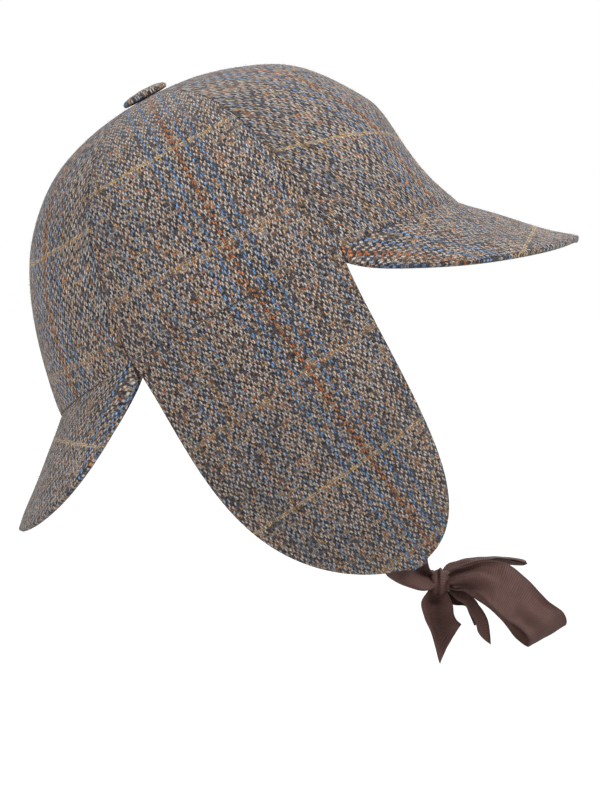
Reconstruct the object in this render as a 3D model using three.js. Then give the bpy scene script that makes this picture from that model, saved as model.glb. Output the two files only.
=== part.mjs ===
// A tweed deerstalker hat, held as it is worn: a crown of six gores with a covered button, a peak in front
// and one behind, and two ear flaps let down and tied under the chin with a ribbon bow.
//
// Millimetres. +X is the way the wearer faces, +Y the wearer's left, +Z up. The origin is the middle of the
// head opening. The hat sits tipped back, so its own frame is pitched about Y: in the hat's frame x runs
// forward along the opening, y to the left and z up towards the button.

import * as THREE from "three";

// ---------- driving sizes ----------

const PITCH = THREE.MathUtils.degToRad(28.3);
const GAP = 0.4;

const CROWN = { halfLength: 104.8, halfWidth: 86, height: 112.4, roundness: 2.2, cloth: 2.4 };
const CROWN_TOP_RADIUS = 0.05; // where the gores end under the button, as a share of the crown
const GORE_COLUMNS = { front: 9, side: 10, back: 8 };
const GORE_ROWS = 13;
const RIM_RISE = 10.5; // how much higher the opening's edge is over the ears than in front and behind
// how far a gore swells between its seams, and how the swell dies out towards the button
const GORE_PUFF = { height: 1.4, fullness: 0.8, fadeSlope: 2.2, fadeStart: 0.3 };
const FRONT_TUCK = { depth: 6.6, height: 62, halfAngle: 0.5 };
const BACK_TUCK = { depth: 2.8, height: 100, halfAngle: 0.6 };

const SEAM_FRONT_X = 45; // where flap, peak and gores meet
const SEAM_BACK_X = -62;

const FLAP = {
  length: 137.6,
  dropIn: 62, // how much nearer to the chin the tip hangs than the opening's edge
  cloth: 3,
  fullness: 3.9, // how late the flap narrows
  tipRound: 0.571,
  forward: 17.5, // how far in front of the flap's middle its tip is
  bend: 3.4,
  edgeFade: 6, // how soon the top edge's arch dies out
};
const FLAP_END = 0.997;
const FLAP_STEP = { share: 0.035, length: 0.06 }; // how the flap narrows just below the notches
const FLAP_WAVES = [
  { across: 0.55, down: 0.36, halfAcross: 0.35, halfDown: 0.22, height: 1.8 },
  { across: -0.35, down: 0.55, halfAcross: 0.4, halfDown: 0.2, height: -1.6 },
  { across: 0.1, down: 0.83, halfAcross: 0.6, halfDown: 0.09, height: 1.5 },
];
const FLAP_COLUMNS = 12;
const FLAP_ROWS = 16;
const FLAP_ROW_SPREAD = 1.15; // more than 1 brings the rows closer together at the tip

const PEAK_CLOTH = 3.4;
const PEAK_JOIN = 8; // the length that a peak and a flap are sewn together
const PEAK_SLOPE = { side: 10.5, easing: 0.15, end: 22, endPower: 16 }; // degrees that the sides hang lower
const PEAK_COLUMNS = 22;
const PEAK_ROWS = 6;
const PEAK_FRONT = { reach: 58.5, slope: 45.5, hollow: 0.05, fullness: 1.95, cornerRound: 0.85 };
const PEAK_BACK = { reach: 57, slope: 39.5, hollow: -0.02, fullness: 2.6, cornerRound: 0.88 };

const BUTTON_RADIUS = 11.2;
const BUTTON_HEIGHT = 3.9;
const BUTTON_SIDES = 28;

const RIBBON = { width: 22, thick: 0.8 };
const RIBBON_COLUMNS = 6;
const KNOT = { x: 83.6, y: 0, z: -127.2, halfLength: 5.2, halfDepth: 4.6, halfHeight: 4.8 };
const KNOT_SIDES = 20;
const KNOT_RINGS = 12;

// ---------- colours ----------

const TWEED = new THREE.MeshStandardMaterial({ color: 0x7b7068, roughness: 0.95, metalness: 0 });
const TWEED_DARK = new THREE.MeshStandardMaterial({ color: 0x6a6058, roughness: 0.95, metalness: 0 });
const GROSGRAIN = new THREE.MeshStandardMaterial({ color: 0x4c3a35, roughness: 0.6, metalness: 0 });

// ---------- closed sheets ----------

// A closed solid between two grids of points, outer and inner, each a list of rows of equal length. The
// outer grid's rows and columns turn anticlockwise seen from outside.
function solidBetween(outer, inner) {
  const rows = outer.length;
  const columns = outer[0].length;
  const points = [...outer.flat(), ...inner.flat()];
  const indices = [];
  const quad = (a, b, c, d) => indices.push(a, b, c, a, c, d);
  const front = (row, column) => row * columns + column;
  const back = (row, column) => rows * columns + front(row, column);
  for (let row = 0; row < rows - 1; row++) {
    for (let column = 0; column < columns - 1; column++) {
      quad(front(row, column), front(row, column + 1), front(row + 1, column + 1), front(row + 1, column));
      quad(back(row, column), back(row + 1, column), back(row + 1, column + 1), back(row, column + 1));
    }
  }
  for (let column = 0; column < columns - 1; column++) {
    const last = rows - 1;
    quad(front(0, column), back(0, column), back(0, column + 1), front(0, column + 1));
    quad(front(last, column), front(last, column + 1), back(last, column + 1), back(last, column));
  }
  for (let row = 0; row < rows - 1; row++) {
    const last = columns - 1;
    quad(front(row, 0), front(row + 1, 0), back(row + 1, 0), back(row, 0));
    quad(front(row, last), back(row, last), back(row + 1, last), front(row + 1, last));
  }
  const geometry = new THREE.BufferGeometry();
  geometry.setAttribute("position", new THREE.Float32BufferAttribute(points.flatMap((p) => [...p]), 3));
  geometry.setIndex(indices);
  geometry.computeVertexNormals();
  return geometry;
}

// The rows of points that a function of two numbers from 0 to 1 gives.
function grid(rows, columns, at) {
  return Array.from({ length: rows + 1 }, (_, row) =>
    Array.from({ length: columns + 1 }, (_, column) => at(row / rows, column / columns)),
  );
}

function named(name, geometry, material) {
  const mesh = new THREE.Mesh(geometry, material);
  mesh.name = name;
  return mesh;
}

// ---------- the opening's edge and the crown ----------

const SEAM_FRONT = Math.acos(SEAM_FRONT_X / CROWN.halfLength);
const SEAM_BACK = Math.acos(SEAM_BACK_X / CROWN.halfLength);

function rimHeight(turn) {
  return RIM_RISE * Math.abs(Math.sin(turn));
}

// A tuck pulls the crown in at its middle seam: most at mid height, none at the edge or above it.
function tuck({ depth, height, halfAngle }, z, angle) {
  const share = THREE.MathUtils.clamp(z / height, 0, 1);
  return depth * Math.sin(Math.PI * share ** 0.85) ** 1.4 * Math.exp(-((angle / halfAngle) ** 2));
}

// A point on the crown before its gores swell. turn goes round from the front by the left; climb is the
// rounded section's own angle, 0 at the level of the origin and a right angle at the top.
function crownBase(turn, climb) {
  const power = 2 / CROWN.roundness;
  const share = Math.cos(climb) ** power;
  const z = CROWN.height * Math.sin(climb) ** power;
  const fromBack = Math.PI - Math.abs(turn);
  const pull = tuck(FRONT_TUCK, z, turn) - tuck(BACK_TUCK, z, fromBack);
  return new THREE.Vector3(
    CROWN.halfLength * share * Math.cos(turn) - pull,
    CROWN.halfWidth * share * Math.sin(turn),
    z,
  );
}

function crownNormal(turn, climb) {
  const step = 1e-3;
  const round = crownBase(turn + step, climb).sub(crownBase(turn - step, climb));
  const up = crownBase(turn, climb + step).sub(crownBase(turn, Math.max(climb - step, 1e-6)));
  return { normal: round.clone().cross(up).normalize(), round: round.normalize() };
}

// One gore, from the seam at one turn to the seam at another.
function crownGore(from, to, columns) {
  const top = Math.acos(CROWN_TOP_RADIUS ** (CROWN.roundness / 2));
  const surface = (inset) => (rise, across) => {
    const turn = THREE.MathUtils.lerp(from, to, across);
    const start = Math.asin((rimHeight(turn) / CROWN.height) ** (CROWN.roundness / 2));
    const climb = THREE.MathUtils.lerp(start, top, rise);
    const { normal, round } = crownNormal(turn, climb);
    const fade = THREE.MathUtils.clamp(GORE_PUFF.fadeSlope * Math.cos(climb) - GORE_PUFF.fadeStart, 0, 1);
    const puff = GORE_PUFF.height * fade * Math.sin(Math.PI * across) ** GORE_PUFF.fullness;
    const side = across === 0 ? GAP / 2 : across === 1 ? -GAP / 2 : 0;
    return crownBase(turn, climb).addScaledVector(normal, puff - inset).addScaledVector(round, side);
  };
  return solidBetween(grid(GORE_ROWS, columns, surface(0)), grid(GORE_ROWS, columns, surface(CROWN.cloth)));
}

function crown() {
  const group = new THREE.Group();
  const gores = [
    { name: "front", from: 0, to: SEAM_FRONT },
    { name: "side", from: SEAM_FRONT, to: SEAM_BACK },
    { name: "back", from: SEAM_BACK, to: Math.PI },
  ];
  for (const { name, from, to } of gores) {
    const left = crownGore(from, to, GORE_COLUMNS[name]);
    const right = crownGore(-to, -from, GORE_COLUMNS[name]);
    const cloth = name === "side" ? TWEED : TWEED_DARK;
    group.add(named(`crown_panel_${name}_left`, left, cloth));
    group.add(named(`crown_panel_${name}_right`, right, cloth));
  }
  return group;
}

// ---------- the covered button ----------

function topButton() {
  const profile = [
    [0, 0],
    [0.9, 0],
    [1, 0.22],
    [0.985, 0.45],
    [0.9, 0.68],
    [0.72, 0.86],
    [0.45, 0.96],
    [0, 1],
  ].map(([out, up]) => new THREE.Vector2(BUTTON_RADIUS * out, BUTTON_HEIGHT * up));
  const geometry = new THREE.LatheGeometry(profile, BUTTON_SIDES);
  const button = named("top_button", geometry, TWEED);
  button.rotation.x = Math.PI / 2;
  button.position.z = CROWN.height + GAP;
  return button;
}

// ---------- the peaks ----------

// A peak runs out from the opening's edge and down. middle is the turn of its middle and half the angle
// from there to each end.
function peak(name, { reach, slope, hollow, fullness, cornerRound }, middle, half) {
  const surface = (depth) => (out, across) => {
    const share = 2 * across - 1;
    const turn = middle + half * share;
    const end = Math.abs(share);
    const length = PEAK_JOIN + (reach - PEAK_JOIN) * (1 - end ** fullness) ** cornerRound;
    const fall = (PEAK_SLOPE.side * end ** 2) / (end ** 2 + PEAK_SLOPE.easing);
    const steeper = fall + PEAK_SLOPE.end * end ** PEAK_SLOPE.endPower;
    const down = THREE.MathUtils.degToRad(slope + steeper) * (1 + hollow * (1 - 2 * out));
    const outward = new THREE.Vector3(
      Math.cos(turn) / CROWN.halfLength,
      Math.sin(turn) / CROWN.halfWidth,
      0,
    ).normalize();
    const along = outward.clone().multiplyScalar(Math.cos(down)).setZ(-Math.sin(down));
    const above = outward.clone().multiplyScalar(Math.sin(down)).setZ(Math.cos(down));
    const round = new THREE.Vector3(-outward.y, outward.x, 0);
    const side = across === 0 ? GAP / 2 : across === 1 ? -GAP / 2 : 0;
    return new THREE.Vector3(
      CROWN.halfLength * Math.cos(turn),
      CROWN.halfWidth * Math.sin(turn),
      rimHeight(turn) - GAP,
    )
      .addScaledVector(along, out * length)
      .addScaledVector(above, -depth)
      .addScaledVector(round, side);
  };
  const top = grid(PEAK_ROWS, PEAK_COLUMNS, surface(0));
  const under = grid(PEAK_ROWS, PEAK_COLUMNS, surface(PEAK_CLOTH));
  return named(name, solidBetween(under, top), TWEED);
}

// ---------- the ear flaps ----------

// Half the flap's width, which rounds off to nothing at the tip.
function flapHalfWidth(down) {
  const half = (SEAM_FRONT_X - SEAM_BACK_X) / 2 - GAP / 2;
  const step = FLAP_STEP.share * (1 - Math.exp(-down / FLAP_STEP.length));
  return half * (1 - step) * (1 - down ** FLAP.fullness) ** FLAP.tipRound;
}

// A point on a flap. down goes from 0 at the opening's edge to 1 at the tip, across from -1 at the flap's
// back edge to 1 at its front edge; side is 1 on the left and -1 on the right.
function flapPoint(down, across, side) {
  const middle = (SEAM_FRONT_X + SEAM_BACK_X) / 2;
  const x = middle + FLAP.forward * down ** FLAP.bend + across * flapHalfWidth(down);
  const lean = x / CROWN.halfLength;
  const round = Math.sqrt(1 - lean * lean);
  const z = (RIM_RISE * round - GAP) * (1 - down) ** FLAP.edgeFade - FLAP.length * down;
  const swell = FLAP_WAVES.reduce((sum, wave) => {
    const offAcross = (across - wave.across) / wave.halfAcross;
    const offDown = (down - wave.down) / wave.halfDown;
    return sum + wave.height * Math.exp(-(offAcross ** 2) - offDown ** 2);
  }, 0);
  const fallen = (RIM_RISE - z) / (RIM_RISE + FLAP.length);
  const y = CROWN.halfWidth * round - FLAP.dropIn * fallen ** 2 + swell;
  return new THREE.Vector3(x, side * y, z);
}

function flapNormal(down, across, side) {
  const step = 2e-3;
  const low = Math.min(down, FLAP_END - 2 * step);
  const fore = flapPoint(low, across + step, side).sub(flapPoint(low, across - step, side));
  const drop = flapPoint(low + step, across, side).sub(flapPoint(Math.max(low - step, 0), across, side));
  return fore.cross(drop).normalize().multiplyScalar(side);
}

function earFlap(name, side) {
  const surface = (inset) => (fall, share) => {
    const down = FLAP_END * Math.sin((Math.PI / 2) * fall ** FLAP_ROW_SPREAD);
    const across = side * (1 - 2 * share);
    const normal = flapNormal(down, across, side);
    if (fall === 0) normal.setZ(0).normalize();
    return flapPoint(down, across, side).addScaledVector(normal, -inset);
  };
  const outer = grid(FLAP_ROWS, FLAP_COLUMNS, surface(0));
  const inner = grid(FLAP_ROWS, FLAP_COLUMNS, surface(FLAP.cloth));
  return named(name, solidBetween(inner, outer), TWEED);
}

// ---------- the ribbon ----------

// A ribbon keeps its width: where its two edges come closer it stands up in pleats. This is how high the
// pleats stand.
function pleatHeight(chord, pleats) {
  const steps = 24;
  const halvings = 20;
  const wave = (step) => Math.sin((Math.PI * pleats * step) / steps);
  const girth = (height) => {
    let sum = 0;
    for (let step = 0; step < steps; step++) {
      sum += Math.hypot(chord / steps, height * (wave(step + 1) - wave(step)));
    }
    return sum;
  };
  let low = 0;
  let high = RIBBON.width;
  for (let halving = 0; halving < halvings; halving++) {
    const middle = (low + high) / 2;
    if (girth(middle) < RIBBON.width) low = middle;
    else high = middle;
  }
  return low;
}

// A stretch of ribbon. Each row of the table gives both of its edges, at a section across the ribbon. vee is
// the share of the stretch's length that its end is cut back in the middle.
function ribbon(name, table, { pleats = 1, face = 1, steps = 3, vee = 0 } = {}) {
  const corner = (row, edge) => new THREE.Vector3(row[`${edge}x`], row[`${edge}y`], row[`${edge}z`]);
  const curve = (edge) => new THREE.CatmullRomCurve3(table.map((row) => corner(row, edge)));
  const first = curve("a");
  const second = curve("b");
  const rows = steps * (table.length - 1);
  const surface = (lift) => (gone, share) => {
    const along = gone * (1 - vee * (1 - Math.abs(2 * share - 1)));
    const a = first.getPoint(along);
    const b = second.getPoint(along);
    const chord = b.clone().sub(a);
    const tangent = first.getTangent(along).add(second.getTangent(along)).normalize();
    const normal = chord.clone().cross(tangent).normalize();
    const height = face * pleatHeight(Math.min(chord.length(), RIBBON.width), pleats);
    const bump = height * Math.sin(Math.PI * pleats * share);
    const slopeHere = (height * Math.PI * pleats * Math.cos(Math.PI * pleats * share)) / chord.length();
    const out = normal.clone().addScaledVector(chord.clone().normalize(), -slopeHere).normalize();
    return a.lerp(b, share).addScaledVector(normal, bump).addScaledVector(out, lift);
  };
  const top = grid(rows, RIBBON_COLUMNS, surface(RIBBON.thick / 2));
  const under = grid(rows, RIBBON_COLUMNS, surface(-RIBBON.thick / 2));
  return named(name, solidBetween(top, under), GROSGRAIN);
}

// A point given in the hat's frame, as it lies once the hat is worn.
function worn(point) {
  return point.clone().applyAxisAngle(new THREE.Vector3(0, 1, 0), -PITCH);
}

// The ribbon from inside a flap's tip to the knot. It is sewn flat to the flap and gathers as it nears the
// knot.
function chinRibbon(name, side) {
  const sewn = (down, offset, lift) => {
    const across = offset / flapHalfWidth(down);
    const inset = FLAP.cloth + RIBBON.thick / 2 + lift;
    return worn(flapPoint(down, across, side).addScaledVector(flapNormal(down, across, side), -inset));
  };
  const half = RIBBON.width / 2 + GAP;
  const row = (a, b) => ({ ax: a.x, ay: a.y, az: a.z, bx: b.x, by: b.y, bz: b.z });
  const table = [
    row(sewn(0.82, -half + 2, 2 * GAP), sewn(0.82, half + 2, 2 * GAP)),
    row(sewn(0.91, -half + 3, 4 * GAP), sewn(0.91, half + 3, 4 * GAP)),
    row(new THREE.Vector3(58, side * 17.5, -122), new THREE.Vector3(77.5, side * 15.5, -116.8)),
    row(new THREE.Vector3(67, side * 11.5, -127.5), new THREE.Vector3(78.6, side * 10, -120.2)),
    row(new THREE.Vector3(76.2, side * 5, -129.8), new THREE.Vector3(80.2, side * 5, -122.4)),
  ];
  return ribbon(name, table, { pleats: 2, face: side });
}

const LOOP_NEAR = [
  { ax: 89.4, ay: -5, az: -121.4, bx: 90.4, by: -5, bz: -130.4 },
  { ax: 95, ay: -7, az: -119.3, bx: 95.6, by: -9, bz: -130 },
  { ax: 104, ay: -8, az: -116.4, bx: 101.4, by: -14, bz: -131.4 },
  { ax: 114.5, ay: -8, az: -117.7, bx: 107, by: -16, bz: -137 },
  { ax: 124.5, ay: -9, az: -125.3, bx: 113.2, by: -17, bz: -142.8 },
  { ax: 133.8, ay: -9, az: -135, bx: 119.3, by: -17, bz: -146.4 },
  { ax: 141.4, ay: -7, az: -141, bx: 124.2, by: -15, bz: -151.8 },
  { ax: 142.6, ay: -2, az: -147, bx: 124.2, by: -9.5, bz: -156.4 },
  { ax: 137.4, ay: 0, az: -144.4, bx: 118.8, by: -6.5, bz: -152.8 },
  { ax: 129, ay: 0.6, az: -136, bx: 113.6, by: -6.5, bz: -146 },
  { ax: 119, ay: 0.6, az: -128, bx: 107, by: -6, bz: -139.4 },
  { ax: 107, ay: 0, az: -121.5, bx: 100, by: -4.5, bz: -134.4 },
  { ax: 97.6, ay: -1, az: -121.6, bx: 94.8, by: -2.6, bz: -131 },
  { ax: 89.6, ay: -1.8, az: -123.8, bx: 90, by: -1.8, bz: -129.6 },
];

const LOOP_FAR = [
  { ax: 87.8, ay: 3, az: -122.4, bx: 87, by: 7, bz: -125 },
  { ax: 93.6, ay: 4, az: -118.2, bx: 92.6, by: 16, bz: -121 },
  { ax: 103, ay: 4.6, az: -115.6, bx: 102, by: 24, bz: -118.6 },
  { ax: 113, ay: 4.8, az: -115.4, bx: 112, by: 26.4, bz: -117.6 },
  { ax: 121.5, ay: 5, az: -117.2, bx: 120.8, by: 26.6, bz: -118.6 },
  { ax: 124.8, ay: 5, az: -118.8, bx: 124.2, by: 26.6, bz: -119.9 },
  { ax: 121, ay: 5, az: -119.1, bx: 120.4, by: 26.4, bz: -120.4 },
  { ax: 112.4, ay: 5, az: -118.4, bx: 112, by: 25.4, bz: -120.6 },
  { ax: 102.6, ay: 4.8, az: -119.8, bx: 102, by: 22.4, bz: -122.6 },
  { ax: 94.4, ay: 4.2, az: -122.8, bx: 93.6, by: 14.6, bz: -125.6 },
  { ax: 88.6, ay: 3.4, az: -125.4, bx: 87.6, by: 7, bz: -127.8 },
];

const TAIL_NEAR = [
  { ax: 78.4, ay: -5.2, az: -131.2, bx: 88.6, by: -4.8, bz: -132.4 },
  { ax: 75.4, ay: -7, az: -137, bx: 90, by: -3, bz: -137 },
  { ax: 76.3, ay: -8, az: -144, bx: 90.6, by: -1.8, bz: -142 },
  { ax: 78.8, ay: -7.4, az: -150.5, bx: 93.4, by: -0.8, bz: -146 },
  { ax: 83.4, ay: -5, az: -165, bx: 93.8, by: 0, bz: -147.2 },
];

const TAIL_FAR = [
  { ax: 85.4, ay: 3.6, az: -133, bx: 91.6, by: 2.8, bz: -130.6 },
  { ax: 90.4, ay: 9, az: -138.4, bx: 97.2, by: 3.2, bz: -132 },
  { ax: 96.2, ay: 13, az: -140.4, bx: 101.4, by: 3.6, bz: -136.4 },
  { ax: 98.6, ay: 15, az: -144.6, bx: 104.6, by: 3.8, bz: -143 },
  { ax: 100.8, ay: 16, az: -149.2, bx: 107.4, by: 4.2, bz: -156.8 },
];

function bowKnot() {
  const geometry = new THREE.SphereGeometry(1, KNOT_SIDES, KNOT_RINGS);
  const knot = named("bow_knot", geometry, GROSGRAIN);
  knot.scale.set(KNOT.halfLength, KNOT.halfDepth, KNOT.halfHeight);
  knot.position.set(KNOT.x, KNOT.y, KNOT.z);
  return knot;
}

function chinTie() {
  const group = new THREE.Group();
  group.add(chinRibbon("chin_ribbon_right", -1), chinRibbon("chin_ribbon_left", 1));
  group.add(bowKnot());
  group.add(ribbon("bow_loop_near", LOOP_NEAR, { pleats: 3, face: -1, steps: 2 }));
  group.add(ribbon("bow_loop_far", LOOP_FAR, { pleats: 3, steps: 2 }));
  group.add(ribbon("bow_tail_near", TAIL_NEAR, { face: -1 }));
  group.add(ribbon("bow_tail_far", TAIL_FAR, { pleats: 2, vee: 0.25 }));
  return group;
}

// ---------- the hat ----------

function deerstalker() {
  const group = new THREE.Group();
  const hat = new THREE.Group();
  hat.rotation.y = -PITCH;
  hat.add(crown(), topButton());
  hat.add(peak("peak_front", PEAK_FRONT, 0, SEAM_FRONT));
  hat.add(peak("peak_back", PEAK_BACK, Math.PI, Math.PI - SEAM_BACK));
  hat.add(earFlap("ear_flap_left", 1), earFlap("ear_flap_right", -1));
  group.add(hat, chinTie());
  return group;
}

export default deerstalker();
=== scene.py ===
# %% [markdown]
# A tweed deerstalker, let down and tied as it is worn: six gores under a covered button, a peak in front
# and one behind, two ear flaps, and a grosgrain ribbon that comes from inside the flaps to a bow.
# The frame gives the measured solids. Every one of them is soft, so each gets a finished piece of cloth
# or ribbon here, made on the same shape.

import math

import bpy
import numpy as np
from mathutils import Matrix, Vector, kdtree


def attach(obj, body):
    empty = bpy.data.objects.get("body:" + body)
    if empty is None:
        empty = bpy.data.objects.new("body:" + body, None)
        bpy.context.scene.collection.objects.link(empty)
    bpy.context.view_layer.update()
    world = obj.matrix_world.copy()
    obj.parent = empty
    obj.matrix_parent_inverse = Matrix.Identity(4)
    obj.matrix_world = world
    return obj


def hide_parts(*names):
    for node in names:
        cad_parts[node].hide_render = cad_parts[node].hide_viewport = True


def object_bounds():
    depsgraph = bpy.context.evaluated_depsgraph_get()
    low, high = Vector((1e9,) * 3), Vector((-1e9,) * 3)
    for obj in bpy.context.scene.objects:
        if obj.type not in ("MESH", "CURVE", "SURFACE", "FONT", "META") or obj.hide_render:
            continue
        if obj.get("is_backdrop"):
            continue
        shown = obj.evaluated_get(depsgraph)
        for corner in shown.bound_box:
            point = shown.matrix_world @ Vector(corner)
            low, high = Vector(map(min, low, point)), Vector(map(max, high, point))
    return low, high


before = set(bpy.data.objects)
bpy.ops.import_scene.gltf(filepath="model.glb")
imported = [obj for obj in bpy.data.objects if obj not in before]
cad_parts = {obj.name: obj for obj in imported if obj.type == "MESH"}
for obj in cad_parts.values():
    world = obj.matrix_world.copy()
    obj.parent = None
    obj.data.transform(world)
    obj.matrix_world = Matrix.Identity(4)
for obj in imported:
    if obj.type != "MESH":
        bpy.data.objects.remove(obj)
cad_low, cad_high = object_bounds()
print("solids to dress:", len(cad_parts), "box", [round(v, 3) for v in (cad_high - cad_low)])

# %% [markdown]
# The sizes are worked out in millimetres in the hat's own frame: x forward along the head opening, y to
# the wearer's left, z up towards the button. A hat on a head sits tipped back, so that frame is pitched
# before anything becomes a mesh. The ribbon's places are given as it hangs, already upright. Pieces that
# are sewn together overlap a little, so that no light comes through a seam.

# %% sizes
MM = 0.001  # metres
PITCH = math.radians(28.3)
GAP = 0.4  # between a ribbon or the button and the cloth it lies on
SEAM_OVERLAP = 0.4
HALF_LENGTH, HALF_WIDTH, HEIGHT = 104.8, 86.0, 112.4  # the crown
ROUNDNESS = 2.2  # of the crown's outline from the side; 2 is an ellipse
CROWN_CLOTH, FLAP_CLOTH, PEAK_CLOTH = 2.4, 3.0, 3.4
TOP_RADIUS = 0.05  # share of the crown's radius where the gores end under the button
RIM_RISE = 10.5  # of the opening's edge over the ears
SEAM_FRONT_X, SEAM_BACK_X = 45.0, -62.0  # where the side seams and the notches meet the edge
SEAM_FRONT = math.acos(SEAM_FRONT_X / HALF_LENGTH)
SEAM_BACK = math.acos(SEAM_BACK_X / HALF_LENGTH)
RIBBON_WIDTH, RIBBON_THICK = 22.0, 0.8


def pitched(points):
    """Points of the hat's frame as they lie when the hat is worn."""
    x, y, z = points[..., 0], points[..., 1], points[..., 2]
    c, s = math.cos(PITCH), math.sin(PITCH)
    return np.stack([x * c - z * s, y, x * s + z * c], -1)


print("opening", 2 * HALF_LENGTH, "by", 2 * HALF_WIDTH, "mm, seams at", SEAM_FRONT_X, SEAM_BACK_X)

# %% [markdown]
# The eye stands nearly square to the wearer's right side, a little above the middle of the hat, with a
# long lens so that near and far parts keep their sizes.

# %% camera
AIM = Vector((0.0182, 0.0, -0.0416))
EYE_DISTANCE = 1.8
EYE_TURN, EYE_RISE = math.radians(-1.0), math.radians(2.5)
LENS, SENSOR = 173.3, 36
NEAREST, FARTHEST = 0.05, 60

camera = bpy.data.objects.new("camera", bpy.data.cameras.new("camera"))
bpy.context.scene.collection.objects.link(camera)
away = Vector((
    math.sin(EYE_TURN) * math.cos(EYE_RISE),
    -math.cos(EYE_TURN) * math.cos(EYE_RISE),
    math.sin(EYE_RISE),
))
camera.location = AIM + away * EYE_DISTANCE
camera.rotation_mode = "QUATERNION"
camera.rotation_quaternion = (-away).to_track_quat("-Z", "Y")
camera.data.sensor_width, camera.data.lens = SENSOR, LENS
camera.data.clip_start, camera.data.clip_end = NEAREST, FARTHEST
bpy.context.scene.camera = camera
print("eye at", [round(v, 3) for v in camera.location])

# %% [markdown]
# Soft light: a wide lamp above and in front of the peak, a weaker one beside the eye, a small one behind
# for the far edges, and a pale room. The room lights the hat less than it shows itself, and the floor, as
# pale as the room, lies well below, since a head would hold the hat up.

# %% light and floor
FLOOR_DROP = 0.42  # below the hat, in metres, as are the lamps' places
LAMPS = [
    # name, place, size, watts
    ("key", (1.55, -0.95, 1.25), 1.0, 32.0),
    ("fill", (-1.5, -1.3, 0.4), 1.4, 19.0),
    ("rim", (0.2, 1.2, 1.3), 1.0, 9.0),
]
for lamp_name, place, size, watts in LAMPS:
    lamp = bpy.data.objects.new(lamp_name, bpy.data.lights.new(lamp_name, "AREA"))
    lamp.data.size = size
    lamp.data.energy = watts
    lamp.location = place
    lamp.rotation_mode = "QUATERNION"
    lamp.rotation_quaternion = (AIM - Vector(place)).to_track_quat("-Z", "Y")
    bpy.context.scene.collection.objects.link(lamp)


class Sock:
    """A shader value that Python's own signs work on: each makes the maths node that it stands for."""

    def __init__(self, tree, socket):
        self.tree, self.socket = tree, socket

    def maths(self, operation, *others):
        step = self.tree.nodes.new("ShaderNodeMath")
        step.operation = operation
        for place, value in enumerate((self, *others)):
            link(self.tree, value, step.inputs[place])
        return Sock(self.tree, step.outputs[0])

    def __rsub__(self, other):
        return self * -1.0 + other


SIGNS = {
    "__add__": "ADD", "__radd__": "ADD", "__sub__": "SUBTRACT", "__mul__": "MULTIPLY", "__rmul__": "MULTIPLY",
    "__truediv__": "DIVIDE", "__mod__": "FLOORED_MODULO", "__lt__": "LESS_THAN", "__gt__": "GREATER_THAN",
    "__abs__": "ABSOLUTE", "floor": "FLOOR", "sine": "SINE", "cosine": "COSINE", "power": "POWER",
    "most": "MAXIMUM", "least": "MINIMUM",
}


def worked(operation):
    return lambda value, *others: value.maths(operation, *others)


for sign, operation in SIGNS.items():
    setattr(Sock, sign, worked(operation))


def link(tree, value, socket):
    """Links a shader value to a socket, or sets the socket to a plain one."""
    if isinstance(value, Sock):
        tree.links.new(value.socket, socket)
    else:
        socket.default_value = value


def node(tree, kind, settings=None, output=0, **inputs):
    """Any other node: its type, its settings, then its values and links by the name of the socket."""
    made = tree.nodes.new(kind)
    for key, value in (settings or {}).items():
        setattr(made, key, value)
    for key, value in inputs.items():
        link(tree, value, made.inputs[key.replace("_", " ")])
    return Sock(tree, made.outputs[output])


def blend(tree, share, first, second):
    """A colour between two others."""
    mixed = tree.nodes.new("ShaderNodeMix")
    mixed.data_type = "RGBA"
    link(tree, share, mixed.inputs[0])
    for place, colour in ((6, first), (7, second)):
        link(tree, colour if isinstance(colour, Sock) else (*colour, 1.0), mixed.inputs[place])
    return Sock(tree, mixed.outputs[2])


def split(tree, vector):
    """The first two parts of a vector."""
    parts = tree.nodes.new("ShaderNodeSeparateXYZ")
    link(tree, vector, parts.inputs[0])
    return Sock(tree, parts.outputs[0]), Sock(tree, parts.outputs[1])


def bump(tree, height, strength, depth):
    """The normal that a height gives, where a height of 1 stands depth metres proud."""
    return node(tree, "ShaderNodeBump", Strength=strength, Distance=depth, Height=height)


def material(name):
    made = bpy.data.materials.new(name)
    made.use_nodes = True
    return made, made.node_tree


def paint(tree, shader="Principled BSDF", **inputs):
    """Values and links for a shader, by the names of its sockets."""
    for key, value in inputs.items():
        link(tree, value, tree.nodes[shader].inputs[key.replace("_", " ")])


WHITE = (1, 1, 1, 1)
ROOM_LIGHT, ROOM_SEEN = 0.52, 1.0
world = bpy.data.worlds.new("room")
bpy.context.scene.world = world
world.use_nodes = True
seen = node(world.node_tree, "ShaderNodeLightPath")
paint(world.node_tree, "Background", Color=WHITE, Strength=ROOM_LIGHT + (ROOM_SEEN - ROOM_LIGHT) * seen)

FLOOR_GREY, FLOOR_SEEN = (0.5, 0.5, 0.5, 1), 0.8
floor_material, floor_tree = material("pale_floor")
floor_glow = FLOOR_SEEN * node(floor_tree, "ShaderNodeLightPath")
paint(floor_tree, Base_Color=FLOOR_GREY, Roughness=0.9, Emission_Color=WHITE, Emission_Strength=floor_glow)

FLOOR_RADIUS, FLOOR_SIDES = 25.0, 96
floor_turns = [2 * math.pi * side / FLOOR_SIDES for side in range(FLOOR_SIDES)]
floor_height = cad_low.z - FLOOR_DROP
ring = [(FLOOR_RADIUS * math.cos(turn), FLOOR_RADIUS * math.sin(turn), floor_height) for turn in floor_turns]
floor_mesh = bpy.data.meshes.new("floor")
floor_mesh.from_pydata(ring, [], [list(range(FLOOR_SIDES))])
floor_mesh.materials.append(floor_material)
floor = bpy.data.objects.new("floor", floor_mesh)
bpy.context.scene.collection.objects.link(floor)
floor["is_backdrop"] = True
bpy.context.scene.view_settings.view_transform = "Standard"
print("floor at", round(floor_height, 3), "m,", len(LAMPS), "lamps")

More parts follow.
